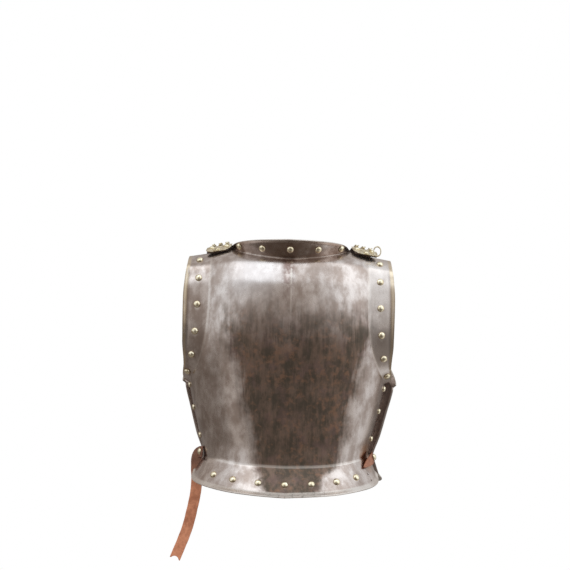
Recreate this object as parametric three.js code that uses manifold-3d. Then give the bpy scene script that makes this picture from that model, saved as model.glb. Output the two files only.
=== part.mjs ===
// A heavy cavalry cuirass: a steel backplate and breastplate, joined over the shoulders
// by brass chain straps, with the torn halves of its leather waist belt.
//
// Millimetres, +Z up. The wearer faces +Y and has the right hand at +X, so the backplate
// faces -Y. The origin lies between the shoulders, level with the seats of the straps.

import * as THREE from "three";
import Module from "manifold-3d";
import { mergeVertices } from "three/addons/utils/BufferGeometryUtils.js";

const wasm = await Module();
wasm.setup();

// ---------------------------------------------------------------- driving dimensions
const GAP = 0.35; // between pieces that touch
const BACK_WALL = 1.7; // steel of the backplate
const BREAST_WALL = 3; // steel of the breastplate
const RIM = 6.5; // turned rim along every free border
const RIM_SHARE = 0.16; // its width on a flange that is short, as a share of the reach
const RIM_TURN = 0.5; // how far the rim turns out, as a share of its width
const RIVET = { radius: 6, height: 4.2, sides: 8 };
const FLANK_RIVET = { radius: 5, height: 3.6, sides: 8 };
const FUSED_SIDES = 6; // of the heads that are one piece with the breastplate
const SUNK = 0.9; // of a head that is one piece with what it is on
const HEAD_TURNS = [0, 42, 90]; // degrees up a head's round profile
const FACET_REACH = 5; // more than any facet lies inside its plate's curve
const STRAP_WIDTH = 44;
const STRAP_WALL = 2.6; // leather under the chains
const BRASS_WALL = 1.4; // end plates of the straps
const STRAP_DRIFT = 3; // both straps sit this far towards the wearer's right
const STRAP_LEATHER = { width: 39, from: 0.02, to: 0.8, steps: 14 };
const CHAIN = { radius: 3.5, pitch: 12.2, clear: 0.5, sides: 8, steps: 10, from: 0.265, to: 0.585 };
// The rear plate: its run, the width of its tongue's tip as a share of the strap's, the
// share of the run over which the tongue rounds out, and its heads.
const REAR_PLATE = { from: 0, to: 0.25, tip: 0.42, round: 0.45, steps: 7 };
const REAR_HEADS = [
  { aside: 0, share: 0.04 },
  { aside: -13, share: 0.16 },
  { aside: 13, share: 0.16 },
];
// The hook plate: its run, its width from root to tip, where the taper and the blunt end
// begin as shares of the run, its holes, and how deep the pins cut that make them.
const HOOK_PLATE = { from: 0.6, to: 1, root: 36, tip: 24, steps: 7 };
const HOOK_END = { taper: 0.86, blunt: 0.99, width: 0.62 };
const HOOK_HOLES = { radius: 4.2, shares: [0.7, 0.8], cut: 30, sides: 10 };
const STUD = { across: 112, z: -81, neck: 2.8, head: 6.2, shank: 8, foot: 1.2, sides: 12 };
const SIDE_STOP = 0.9975; // the plates' sides stop just short of the body's widest line
const BELT_WALL = 2.4;
const BELT_WIDTH = 19;
const BELT_NOTCH = { depth: 5, half: 0.35 }; // bite torn out of the free end, half as a share
const BELT_COLUMNS = [-0.5, -0.28, 0, 0.28, 0.5]; // closer together at the bite's ends
const BELT_STEPS = 22;
const STUB_STEPS = 9;
const BELT_RIVET = { left: 0.035, right: 0.2, lift: BELT_WALL + 3 * GAP }; // shares of the runs
// The two holes that have lost their rivets, at the right end of the backplate's skirt.
const EMPTY_HOLE = { radius: 1.7, cut: 12, sides: 8 };
const EMPTY_HOLES = [
  { x: 143.5, place: 0.56 },
  { x: 149.5, place: 0.8 },
];

// A plate's sections: at each height its depth in front of the parting plane, the half
// width of the whole body, and the half width of the plate itself, which above the
// armpit is the crease of the arm flange.
const BACK = {
  name: "backplate",
  facing: -1,
  wall: BACK_WALL,
  shift: 0,
  parting: 10, // y of the plane that depths are measured from
  sideRoundness: 2.3,
  faceRoundness: 2.3,
  armpit: -239,
  sections: [
    { z: -380, depth: 112, body: 142.5, edge: 142.5 },
    { z: -345, depth: 111, body: 147.4, edge: 147.4 },
    { z: -328, depth: 112, body: 151.4, edge: 151.4 },
    { z: -281, depth: 115, body: 163.4, edge: 163.4 },
    { z: -239, depth: 118, body: 171.8, edge: 171.2 },
    { z: -207, depth: 122, body: 176, edge: 156 },
    { z: -171, depth: 126, body: 178, edge: 144 },
    { z: -127, depth: 127, body: 178, edge: 138 },
    { z: -66, depth: 116, body: 178, edge: 136 },
    { z: -40, depth: 103, body: 178, edge: 135.5 },
    { z: -27, depth: 94, body: 178, edge: 135 },
    { z: -20, depth: 83, body: 178, edge: 135 },
    { z: -14, depth: 69, body: 178, edge: 135 },
    { z: -9, depth: 49, body: 178, edge: 135 },
    { z: -5, depth: 24, body: 178, edge: 135 },
  ],
  // across 0 is the middle, across 1 the side
  borders: [
    { across: 0, waist: -375.6, top: -22, drop: 0, collar: 32.5 },
    { across: 0.3, waist: -373.5, top: -17, drop: 0, collar: 25.5 },
    { across: 0.5, waist: -370.5, top: -12.3, drop: 0, collar: 17.3 },
    { across: 0.6, waist: -369, top: -9.2, drop: 0.3, collar: 10.7 },
    { across: 0.7, waist: -367.8, top: -7, drop: 1.5, collar: 2.5 },
    { across: 1, waist: -365, top: -13, drop: 8, collar: 0 },
  ],
  waistLean: 6.5, // the crease ends this much higher at the right, and lower at the left
  collarEnd: 0.7,
  collarLean: 0.53, // outward for each unit up
  neckCentre: 12,
  armFlange: [
    { z: -239, reach: 9, turn: 0.35, lift: 5 },
    { z: -205, reach: 24, turn: 0.3, lift: 2 },
    { z: -165, reach: 38.5, turn: 0.25, lift: 0 },
    { z: -93, reach: 45, turn: 0.2, lift: 0 },
    { z: -13, reach: 41, turn: 0.17, lift: -7 },
  ],
  skirt: [
    { across: 0, down: 46.4, out: 37 },
    { across: 0.45, down: 43.2, out: 32 },
    { across: 0.7, down: 41.2, out: 26 },
    { across: 0.88, down: 38.3, out: 20 },
    { across: 0.96, down: 34.9, out: 17 },
    { across: 1, down: 28, out: 15 },
  ],
};

const BREAST = {
  name: "breastplate",
  facing: 1,
  wall: BREAST_WALL,
  shift: 4.5,
  parting: -2,
  sideRoundness: 1.75,
  faceRoundness: 2.35,
  armpit: -243,
  sections: [
    { z: -384, depth: 132, body: 149.4, edge: 149.4 },
    { z: -362, depth: 139, body: 150.4, edge: 150.4 },
    { z: -328, depth: 151, body: 162.4, edge: 162.4 },
    { z: -282, depth: 158, body: 174.6, edge: 174.6 },
    { z: -243, depth: 157, body: 184, edge: 183.4 },
    { z: -210, depth: 152, body: 184, edge: 160 },
    { z: -170, depth: 143, body: 183, edge: 146 },
    { z: -130, depth: 131, body: 182, edge: 139 },
    { z: -90, depth: 117, body: 180, edge: 136 },
    { z: -66, depth: 105, body: 180, edge: 134 },
    { z: -50, depth: 92, body: 180, edge: 133 },
    { z: -38, depth: 76, body: 180, edge: 132 },
    { z: -32, depth: 62, body: 180, edge: 132 },
  ],
  borders: [
    { across: 0, waist: -384, top: -66, drop: 0, collar: 24 },
    { across: 0.3, waist: -378, top: -61, drop: 0, collar: 21 },
    { across: 0.5, waist: -373, top: -50, drop: 0, collar: 16 },
    { across: 0.6, waist: -370, top: -42, drop: 0.3, collar: 10 },
    { across: 0.7, waist: -367, top: -36, drop: 1.5, collar: 2.5 },
    { across: 1, waist: -362, top: -40, drop: 8, collar: 0 },
  ],
  waistLean: 0,
  collarEnd: 0.7,
  collarLean: 0.6,
  neckCentre: -20,
  armFlange: [
    { z: -243, reach: 5, turn: 0.35, lift: 4 },
    { z: -205, reach: 22, turn: 0.3, lift: 2 },
    { z: -165, reach: 34, turn: 0.25, lift: 0 },
    { z: -93, reach: 39, turn: 0.2, lift: 0 },
    { z: -40, reach: 36, turn: 0.17, lift: -6 },
  ],
  skirt: [
    { across: 0, down: 46, out: 38 },
    { across: 0.45, down: 46, out: 32 },
    { across: 0.7, down: 46, out: 25 },
    { across: 0.88, down: 45, out: 19 },
    { across: 0.96, down: 43, out: 16 },
    { across: 1, down: 38, out: 13 },
  ],
};

// Rivets of a plate: x from the plate's middle on the neck and the waist, z on the arm
// flanges and flanks; place is the share of the flange's reach.
const FLANK_ACROSS = 0.94;
const RIVET_ROWS = {
  backplate: {
    neck: [
      { x: 0, place: 0.5 },
      { x: 48, place: 0.49 },
      { x: 88, place: 0.6 },
    ],
    arm: [
      { z: -24, place: 0.5 },
      { z: -56.5, place: 0.46 },
      { z: -103, place: 0.46 },
      { z: -149, place: 0.48 },
      { z: -190, place: 0.52 },
      { z: -222, place: 0.53 },
    ],
    flank: [-244, -283, -331],
    waist: [
      { x: 0, place: 0.58 },
      { x: 45, place: 0.58 },
      { x: 88, place: 0.57 },
      { x: 122, place: 0.54 },
    ],
  },
  breastplate: {
    neck: [
      { x: 0, place: 0.54 },
      { x: 44, place: 0.54 },
      { x: 82, place: 0.6 },
    ],
    arm: [
      { z: -53, place: 0.53 },
      { z: -82, place: 0.53 },
      { z: -115, place: 0.53 },
      { z: -150, place: 0.53 },
      { z: -184, place: 0.53 },
      { z: -211, place: 0.53 },
    ],
    flank: [-262, -303, -344],
    waist: [
      { x: 0, place: 0.53 },
      { x: 48, place: 0.53 },
      { x: 92, place: 0.53 },
      { x: 126, place: 0.53 },
    ],
  },
};

// A ribbon's route: its middle line, and the direction across its width.
// The right shoulder strap, from the back to the breast; the left one mirrors it.
const STRAP_ROUTE = [
  { x: 129, y: -31, z: -13.6, acrossX: 1, acrossY: 0, acrossZ: -0.2 },
  { x: 128, y: -20, z: -10.4, acrossX: 1, acrossY: 0, acrossZ: -0.2 },
  { x: 127, y: -9, z: -7.6, acrossX: 1, acrossY: 0, acrossZ: -0.2 },
  { x: 126, y: 3, z: -4.8, acrossX: 1, acrossY: 0, acrossZ: -0.2 },
  { x: 124.5, y: 15, z: -4.2, acrossX: 1, acrossY: -0.02, acrossZ: -0.2 },
  { x: 122, y: 28, z: -7, acrossX: 1, acrossY: -0.06, acrossZ: -0.2 },
  { x: 119.5, y: 40, z: -14.5, acrossX: 1, acrossY: -0.14, acrossZ: -0.18 },
  { x: 117, y: 51, z: -26, acrossX: 1, acrossY: -0.26, acrossZ: -0.16 },
  { x: 115, y: 60, z: -37.5, acrossX: 1, acrossY: -0.38, acrossZ: -0.13 },
  { x: 113, y: 71, z: -51, acrossX: 1, acrossY: -0.47, acrossZ: -0.1 },
  { x: 112, y: 79.5, z: -64.5, acrossX: 1, acrossY: -0.5, acrossZ: -0.08 },
  { x: 111, y: 89.5, z: -88, acrossX: 1, acrossY: -0.5, acrossZ: -0.06 },
];

// The belt's hanging half turns from the flank to face backwards as it drops.
const BELT_ROUTE = [
  { x: -143.4, y: -27, z: -360, acrossX: 0.1, acrossY: 0, acrossZ: 1 },
  { x: -146.4, y: -16, z: -360.5, acrossX: 0.1, acrossY: 0, acrossZ: 1 },
  { x: -150, y: -6, z: -362.5, acrossX: 0, acrossY: 0.05, acrossZ: 1 },
  { x: -153.5, y: 4, z: -367.5, acrossX: -0.5, acrossY: 0.1, acrossZ: 0.9 },
  { x: -155.5, y: 7.5, z: -378, acrossX: -0.9, acrossY: 0.1, acrossZ: 0.35 },
  { x: -155.5, y: 8, z: -391, acrossX: -1, acrossY: 0, acrossZ: 0.1 },
  { x: -154.5, y: 8.5, z: -412, acrossX: -1, acrossY: 0, acrossZ: 0.02 },
  { x: -156, y: 9, z: -436, acrossX: -1, acrossY: 0, acrossZ: 0.12 },
  { x: -161, y: 10, z: -463, acrossX: -1, acrossY: 0, acrossZ: 0.2 },
  { x: -169.5, y: 10, z: -499, acrossX: -1, acrossY: 0, acrossZ: 0.27 },
  { x: -189.5, y: 8, z: -552.5, acrossX: -1, acrossY: 0, acrossZ: 0.42 },
];

// What is left of its right half: a torn tag that ends in a point.
const STUB_ROUTE = [
  { x: 151.5, y: -8, z: -362, acrossX: -0.2, acrossY: 0, acrossZ: 1, width: 15 },
  { x: 151.2, y: -19, z: -363.5, acrossX: -0.25, acrossY: 0, acrossZ: 1, width: 16.5 },
  { x: 147.6, y: -33, z: -367.5, acrossX: -0.3, acrossY: 0.1, acrossZ: 1, width: 15.5 },
  { x: 141.4, y: -46, z: -372.5, acrossX: -0.35, acrossY: 0.2, acrossZ: 1, width: 11 },
  { x: 135.4, y: -55, z: -377.5, acrossX: -0.4, acrossY: 0.3, acrossZ: 1, width: 3 },
];

const STEEL = { color: 0xa79d97, metalness: 1, roughness: 0.34 };
const BRASS = { color: 0xd8bf7c, metalness: 1, roughness: 0.3 };
const LEATHER = { color: 0xa8613f, metalness: 0, roughness: 0.7 };
const DARK_LEATHER = { color: 0x4a3226, metalness: 0, roughness: 0.75 };

// ---------------------------------------------------------------- small helpers
const lerp = THREE.MathUtils.lerp;

// A smooth curve through a table's rows, from one of its columns to another.
function along(table, from, to) {
  const x = table.map((row) => row[from]);
  const y = table.map((row) => row[to]);
  const last = x.length - 1;
  const slope = x.map((_, i) => {
    const [a, b] = [Math.max(i - 1, 0), Math.min(i + 1, last)];
    return (y[b] - y[a]) / (x[b] - x[a]);
  });
  return (value) => {
    let i = 0;
    while (i < last - 1 && value > x[i + 1]) i += 1;
    const step = x[i + 1] - x[i];
    const t = THREE.MathUtils.clamp((value - x[i]) / step, 0, 1);
    const [t2, t3] = [t * t, t * t * t];
    return (
      (2 * t3 - 3 * t2 + 1) * y[i] +
      (t3 - 2 * t2 + t) * step * slope[i] +
      (3 * t2 - 2 * t3) * y[i + 1] +
      (t3 - t2) * step * slope[i + 1]
    );
  };
}

// The value between low and high up to which a rising test still holds.
function halved(low, high, holds) {
  let [from, to] = [low, high];
  for (let turn = 0; turn < 30; turn += 1) {
    const middle = (from + to) / 2;
    if (holds(middle)) from = middle;
    else to = middle;
  }
  return from;
}

function toSolid(geometry) {
  const bare = geometry.clone();
  bare.deleteAttribute("normal");
  bare.deleteAttribute("uv");
  const merged = mergeVertices(bare, 1e-4);
  return new wasm.Manifold(
    new wasm.Mesh({
      numProp: 3,
      vertProperties: new Float32Array(merged.attributes.position.array),
      triVerts: new Uint32Array(merged.index.array),
    })
  );
}

function toGeometry(solid) {
  const mesh = solid.getMesh();
  const geometry = new THREE.BufferGeometry();
  geometry.setAttribute("position", new THREE.BufferAttribute(mesh.vertProperties, 3));
  geometry.setIndex(new THREE.BufferAttribute(mesh.triVerts, 1));
  return geometry;
}

function named(name, geometry, look) {
  const mesh = new THREE.Mesh(geometry, new THREE.MeshStandardMaterial(look));
  mesh.name = name;
  return mesh;
}

// A sheet with an even wall: the outer face runs through point(column, row), which gives
// nothing where the sheet has no such place, and the wall lies behind it.
function thickSheet(columns, rows, point, wall) {
  const points = [];
  const grid = rows.map((row) =>
    columns.map((column) => {
      const place = point(column, row);
      return place ? points.push(place) - 1 : -1;
    })
  );
  const cells = [];
  for (let j = 0; j + 1 < rows.length; j += 1) {
    for (let i = 0; i + 1 < columns.length; i += 1) {
      const cell = [grid[j][i], grid[j][i + 1], grid[j + 1][i + 1], grid[j + 1][i]];
      if (!cell.includes(-1)) cells.push({ cell, right: i >= (columns.length - 1) / 2 });
    }
  }
  const facings = points.map(() => []);
  for (const { cell } of cells) {
    const [a, b, c, d] = cell.map((k) => points[k]);
    const facing = c.clone().sub(a).cross(d.clone().sub(b)).normalize();
    for (const k of cell) facings[k].push(facing);
  }
  const inner = points.map((place, k) => {
    const mean = new THREE.Vector3();
    for (const facing of facings[k]) mean.add(facing);
    mean.normalize();
    const spread = facings[k].reduce((sum, facing) => sum + facing.dot(mean), 0);
    return place.clone().addScaledVector(mean, (-wall * facings[k].length) / spread);
  });
  const count = points.length;
  const triangles = [];
  const borders = new Map();
  for (const { cell, right } of cells) {
    const [a, b, c, d] = cell;
    const halves = right ? [[a, b, c], [a, c, d]] : [[a, b, d], [b, c, d]];
    for (const [p, q, r] of halves) {
      triangles.push(p, q, r, p + count, r + count, q + count);
    }
    for (let k = 0; k < 4; k += 1) {
      const [p, q] = [cell[k], cell[(k + 1) % 4]];
      if (!borders.delete(`${q},${p}`)) borders.set(`${p},${q}`, [p, q]);
    }
  }
  for (const [p, q] of borders.values()) {
    triangles.push(q, p, p + count, q, p + count, q + count);
  }
  const geometry = new THREE.BufferGeometry();
  geometry.setFromPoints([...points, ...inner]);
  geometry.setIndex(triangles);
  return geometry;
}

// ---------------------------------------------------------------- the two plates
// Surfaces of a plate: the body by (across, up), and each flange by its share of reach.
function plateSurfaces(plate) {
  const depth = along(plate.sections, "z", "depth");
  const body = along(plate.sections, "z", "body");
  const edge = along(plate.sections, "z", "edge");
  const border = {};
  for (const column of ["waist", "top", "drop", "collar"]) {
    border[column] = along(plate.borders, "across", column);
  }
  const arm = {};
  for (const column of ["reach", "turn", "lift"]) {
    arm[column] = along(plate.armFlange, "z", column);
  }
  const skirtDown = along(plate.skirt, "across", "down");
  const skirtOut = along(plate.skirt, "across", "out");
  const { facing, sideRoundness, faceRoundness } = plate;
  const leanAt = (across) => plate.waistLean * across ** 3;

  function onBody(across, up) {
    const share = Math.abs(across);
    const z = lerp(border.waist(share) + leanAt(across), border.top(share), up);
    const level = z + border.drop(share);
    const reach = Math.min(SIDE_STOP, edge(z) / body(z));
    const sweep = Math.asin(reach ** (sideRoundness / 2));
    const angle = share * sweep;
    const x = body(z) * Math.sin(angle) ** (2 / sideRoundness);
    const y = depth(level) * Math.cos(angle) ** (2 / faceRoundness);
    const side = -facing * Math.sign(across);
    return new THREE.Vector3(plate.shift + side * x, plate.parting + facing * y, z);
  }

  // The last stretch of every flange turns further out.
  function turnedRim(place, share, reach, outward) {
    const rim = Math.min(RIM, RIM_SHARE * reach);
    const past = (share - 1) * reach + rim;
    return past > 0 ? place.addScaledVector(outward, past * RIM_TURN) : place;
  }

  function onCollar(across, share) {
    const root = onBody(across, 1);
    const height = border.collar(Math.abs(across));
    const outward = new THREE.Vector3(root.x - plate.shift, root.y - plate.neckCentre, 0);
    outward.normalize();
    const place = root.addScaledVector(outward, height * plate.collarLean * share);
    place.z += height * share;
    return turnedRim(place, share, height, outward);
  }

  function onArm(side, up, share) {
    const root = onBody(side, up);
    const reach = arm.reach(root.z);
    const turn = reach * arm.turn(root.z);
    const place = root.clone();
    place.x += -facing * side * reach * share;
    place.y -= facing * turn * share;
    place.z += arm.lift(root.z) * share;
    return turnedRim(place, share, reach, new THREE.Vector3(0, facing, 0));
  }

  function onSkirt(across, share) {
    const root = onBody(across, 0);
    const step = 0.01;
    const before = onBody(Math.max(across - step, -1), 0);
    const after = onBody(Math.min(across + step, 1), 0);
    const tangent = after.sub(before);
    const outward = new THREE.Vector3(tangent.y, -tangent.x, 0).normalize();
    const down = skirtDown(Math.abs(across)) + leanAt(across);
    const out = skirtOut(Math.abs(across));
    const place = root.addScaledVector(outward, out * share);
    place.z -= down * share;
    return turnedRim(place, share, Math.hypot(down, out), outward);
  }

  // The up at which a side of the body reaches a height.
  const upAt = (z, across) => {
    const waist = border.waist(1) + leanAt(across);
    return (z - waist) / (border.top(1) - waist);
  };
  return { onBody, onCollar, onArm, onSkirt, upAt };
}

const BODY_COLUMNS = 24;
const BODY_ROWS = { flank: 5, arm: 11 };
const FLANGE_SHARES = [0.45, 0.87, 1];

function plateSheet(plate, surfaces) {
  const columns = [];
  for (const share of [...FLANGE_SHARES].reverse()) columns.push({ arm: share, side: -1 });
  for (let i = 0; i <= BODY_COLUMNS; i += 1) {
    columns.push({ across: (2 * i) / BODY_COLUMNS - 1 });
  }
  for (const share of FLANGE_SHARES) columns.push({ arm: share, side: 1 });

  const armpit = surfaces.upAt(plate.armpit, 0);
  const rows = [];
  for (const share of [...FLANGE_SHARES].reverse()) rows.push({ skirt: share });
  for (let j = 0; j <= BODY_ROWS.flank; j += 1) {
    rows.push({ up: (armpit * j) / BODY_ROWS.flank });
  }
  for (let j = 1; j <= BODY_ROWS.arm; j += 1) {
    // closer together at the armpit and at the shoulder, where the plate turns most
    const share = (1 - Math.cos((Math.PI * j) / BODY_ROWS.arm)) / 2;
    rows.push({ up: lerp(armpit, 1, share) });
  }
  for (const share of FLANGE_SHARES) rows.push({ collar: share });

  const point = (column, row) => {
    if (column.arm !== undefined) {
      const beside = row.up !== undefined && row.up > armpit - 1e-6;
      return beside ? surfaces.onArm(column.side, row.up, column.arm) : null;
    }
    if (row.skirt !== undefined) return surfaces.onSkirt(column.across, row.skirt);
    if (row.up !== undefined) return surfaces.onBody(column.across, row.up);
    const inside = Math.abs(column.across) <= plate.collarEnd;
    return inside ? surfaces.onCollar(column.across, row.collar) : null;
  };
  return thickSheet(columns, rows, point, plate.wall);
}

// ---------------------------------------------------------------- rivets
function rivetHead({ radius, height, sides }) {
  const profile = [new THREE.Vector2(0, 0)];
  for (const angle of HEAD_TURNS) {
    const turn = THREE.MathUtils.degToRad(angle);
    const across = angle === 90 ? 0 : radius * Math.cos(turn);
    profile.push(new THREE.Vector2(across, height * Math.sin(turn)));
  }
  const turned = new THREE.LatheGeometry(profile, sides).rotateX(Math.PI / 2);
  return toGeometry(toSolid(turned));
}

// A point of a plate's face, and the way the plate faces there.
function seatOn(plate, face, u, v) {
  const step = 0.004;
  const point = face(u, v);
  const acrossWay = face(u + step, v).sub(face(u - step, v));
  const upWay = face(u, v + step).sub(face(u, v - step));
  const normal = acrossWay.cross(upWay).normalize();
  const outward = new THREE.Vector3(point.x - plate.shift, point.y, 0);
  if (normal.dot(outward) < 0) normal.negate();
  return { point, normal };
}

// The share of the half width at which a face reaches x from the plate's middle.
function acrossAt(plate, face, x, share) {
  return halved(0, 1, (middle) => Math.abs(face(middle, share).x - plate.shift) < x);
}

function rivetSeats(plate, surfaces) {
  const rows = RIVET_ROWS[plate.name];
  const seats = [];
  const seat = (name, face, u, v, flank = false) => {
    seats.push({ name, flank, ...seatOn(plate, face, u, v) });
  };
  const bothSides = (prefix, row, place) => {
    row.forEach((entry, k) => {
      const label = String(k + 1);
      for (const [side, word] of [[-1, "left"], [1, "right"]]) {
        place(side, entry, `${prefix}_${word}_${label}`);
      }
    });
  };
  seat("rivet_neck_middle", surfaces.onCollar, 0, rows.neck[0].place);
  bothSides("rivet_neck", rows.neck.slice(1), (side, entry, name) => {
    const across = acrossAt(plate, surfaces.onCollar, entry.x, entry.place);
    seat(name, surfaces.onCollar, -plate.facing * side * across, entry.place);
  });
  bothSides("rivet_arm", rows.arm, (side, entry, name) => {
    const across = -plate.facing * side;
    const face = (up, reach) => surfaces.onArm(across, up, reach);
    seat(name, face, surfaces.upAt(entry.z, across), entry.place);
  });
  bothSides("rivet_flank", rows.flank, (side, z, name) => {
    const across = -plate.facing * side * FLANK_ACROSS;
    seat(name, surfaces.onBody, across, surfaces.upAt(z, across), true);
  });
  seat("rivet_waist_middle", surfaces.onSkirt, 0, rows.waist[0].place);
  bothSides("rivet_waist", rows.waist.slice(1), (side, entry, name) => {
    const across = acrossAt(plate, surfaces.onSkirt, entry.x, entry.place);
    seat(name, surfaces.onSkirt, -plate.facing * side * across, entry.place);
  });
  return seats;
}

function placed(geometry, point, normal, lift) {
  const turn = new THREE.Quaternion().setFromUnitVectors(new THREE.Vector3(0, 0, 1), normal);
  const place = point.clone().addScaledVector(normal, lift);
  const matrix = new THREE.Matrix4().compose(place, turn, new THREE.Vector3(1, 1, 1));
  return geometry.applyMatrix4(matrix);
}

function pin(radius, length, sides) {
  return new THREE.CylinderGeometry(radius, radius, length, sides).rotateX(Math.PI / 2);
}

function backWithEmptyHoles(sheet, surfaces) {
  let solid = toSolid(sheet);
  for (const { x, place } of EMPTY_HOLES) {
    const across = acrossAt(BACK, surfaces.onSkirt, x, place);
    const { point, normal } = seatOn(BACK, surfaces.onSkirt, across, place);
    const cutter = pin(EMPTY_HOLE.radius, EMPTY_HOLE.cut, EMPTY_HOLE.sides);
    solid = solid.subtract(toSolid(placed(cutter, point, normal, 0)));
  }
  return toGeometry(solid);
}

// Each head sits GAP above the plate's flat facets, which lie a little inside its curve.
function backRivets(plateGeometry, seats) {
  const solid = toSolid(plateGeometry);
  return seats.map(({ name, point, normal, flank }) => {
    const head = rivetHead(flank ? FLANK_RIVET : RIVET);
    const away = solid.minGap(toSolid(placed(head.clone(), point, normal, GAP)), FACET_REACH);
    return named(name, placed(head, point, normal, 2 * GAP - away), BRASS);
  });
}

// The heavier breastplate carries its rivets as one piece with it.
function breastWithRivets(sheet, seats) {
  let solid = toSolid(sheet);
  for (const { point, normal, flank } of seats) {
    const head = rivetHead({ ...(flank ? FLANK_RIVET : RIVET), sides: FUSED_SIDES });
    solid = solid.add(toSolid(placed(head, point, normal, -SUNK)));
  }
  return toGeometry(solid);
}

// ---------------------------------------------------------------- ribbons
// The frame of a ribbon at a share of its length: its point, and the directions along
// it, across it and out of its face. A mirrored ribbon is the other shoulder's.
function ribbonFrames(route, mirror = 1) {
  const middle = new THREE.CatmullRomCurve3(
    route.map(({ x, y, z }) => new THREE.Vector3(mirror * x, y, z))
  );
  const width = new THREE.CatmullRomCurve3(
    route.map((row) => {
      return new THREE.Vector3(row.acrossX, mirror * row.acrossY, mirror * row.acrossZ);
    })
  );
  return (share) => {
    const t = middle.getUtoTmapping(share);
    const onward = middle.getTangent(t);
    const across = width.getPoint(t);
    across.addScaledVector(onward, -across.dot(onward)).normalize();
    const outward = across.clone().cross(onward);
    return { point: middle.getPoint(t), onward, across, outward };
  };
}

// A band between two shares of a ribbon's length; its underside lies lift above the
// route, and trim(column) moves its free end back.
function band(frames, { from = 0, to = 1, steps, width, lift = 0, wall, columns, trim }) {
  const rows = Array.from({ length: steps + 1 }, (_, k) => lerp(from, to, k / steps));
  const point = (column, share) => {
    const { point: place, onward, across, outward } = frames(share);
    place.addScaledVector(across, column * width(share));
    place.addScaledVector(outward, lift + wall);
    return trim && share === to ? place.addScaledVector(onward, -trim(column)) : place;
  };
  return thickSheet(columns ?? [-0.5, 0, 0.5], rows, point, wall);
}

// ---------------------------------------------------------------- shoulder straps
// One row of chain as a tube; the rows lie side by side on the leather.
function chainTube(frames, row) {
  const { radius, pitch, clear, sides, steps, from, to } = CHAIN;
  const section = new THREE.Shape().absarc(0, 0, radius, 0, 2 * Math.PI);
  const lift = STRAP_WALL + clear + radius;
  const points = Array.from({ length: steps + 1 }, (_, k) => {
    const { point, across, outward } = frames(lerp(from, to, k / steps));
    return point.addScaledVector(across, row * pitch).addScaledVector(outward, lift);
  });
  const extrudePath = new THREE.CatmullRomCurve3(points);
  return new THREE.ExtrudeGeometry(section, { steps, extrudePath, curveSegments: sides / 2 });
}

// The rear plate begins in a round tongue, and three domed heads hold it.
function rearPlate(frames) {
  const { from, to, tip, round, steps } = REAR_PLATE;
  const width = (share) => {
    const t = Math.min(1, (share - from) / (to - from) / round);
    return STRAP_WIDTH * lerp(tip, 1, Math.sqrt(1 - (1 - t) ** 2));
  };
  const lift = STRAP_WALL + GAP;
  let solid = toSolid(band(frames, { from, to, steps, width, lift, wall: BRASS_WALL }));
  for (const { aside, share } of REAR_HEADS) {
    const { point, across, outward } = frames(share);
    point.addScaledVector(across, aside).addScaledVector(outward, lift + BRASS_WALL);
    solid = solid.add(toSolid(placed(rivetHead(FLANK_RIVET), point, outward, -SUNK)));
  }
  return toGeometry(solid);
}

// The front plate narrows to its end; one of its holes hangs on the stud.
function hookPlate(frames, studSeat) {
  const { from, to, root, tip, steps } = HOOK_PLATE;
  const width = (share) => {
    const t = (share - from) / (to - from);
    const tapered = lerp(root, tip, Math.min(1, t / HOOK_END.taper));
    return t > HOOK_END.blunt ? tapered * HOOK_END.width : tapered;
  };
  const lift = STRAP_WALL + GAP;
  let solid = toSolid(band(frames, { from, to, steps, width, lift, wall: BRASS_WALL }));
  const cut = (point, normal) => {
    const cutter = pin(HOOK_HOLES.radius, HOOK_HOLES.cut, HOOK_HOLES.sides);
    solid = solid.subtract(toSolid(placed(cutter, point, normal, 0)));
  };
  cut(studSeat.point, studSeat.normal);
  for (const share of HOOK_HOLES.shares) {
    const { point, outward } = frames(share);
    cut(point, outward);
  }
  return toGeometry(solid);
}

function stud({ point, normal }) {
  const { neck, head, shank, foot, sides } = STUD;
  const profile = [
    { radius: 0, height: 0 },
    { radius: head, height: 0 },
    { radius: head, height: foot },
    { radius: neck, height: foot },
    { radius: neck, height: shank },
    { radius: head, height: shank + 0.8 },
    { radius: 0.75 * head, height: shank + 2.8 },
    { radius: 0, height: shank + 3.8 },
  ].map(({ radius, height }) => new THREE.Vector2(radius, height));
  const turned = new THREE.LatheGeometry(profile, sides).rotateX(Math.PI / 2);
  return placed(turned, point, normal, 2 * GAP);
}

// A seat on a plate's body, x from its middle and at a height.
function bodySeat(plate, surfaces, side, x, z) {
  const face = (across, up) => surfaces.onBody(-plate.facing * side * across, up);
  let [across, up] = [0.6, 0.8];
  for (let turn = 0; turn < 12; turn += 1) {
    up = halved(0, 1, (middle) => face(across, middle).z < z);
    across = acrossAt(plate, face, x, up);
  }
  return seatOn(plate, face, across, up);
}

function shoulderStrap(side, word, breastFaces) {
  const pieces = new THREE.Group();
  pieces.position.x = STRAP_DRIFT;
  const frames = ribbonFrames(STRAP_ROUTE, side);
  const { width, ...run } = STRAP_LEATHER;
  const leather = band(frames, { ...run, width: () => width, wall: STRAP_WALL });
  const seat = bodySeat(BREAST, breastFaces, side, STUD.across, STUD.z);
  seat.point.x -= STRAP_DRIFT;
  pieces.add(
    named(`strap_leather_${word}`, leather, DARK_LEATHER),
    named(`strap_rear_plate_${word}`, rearPlate(frames), BRASS),
    named(`strap_chain_inner_${word}`, chainTube(frames, -side), BRASS),
    named(`strap_chain_middle_${word}`, chainTube(frames, 0), BRASS),
    named(`strap_chain_outer_${word}`, chainTube(frames, side), BRASS),
    named(`strap_hook_plate_${word}`, hookPlate(frames, seat), BRASS),
    named(`strap_stud_${word}`, stud(seat), BRASS)
  );
  return pieces;
}

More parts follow.
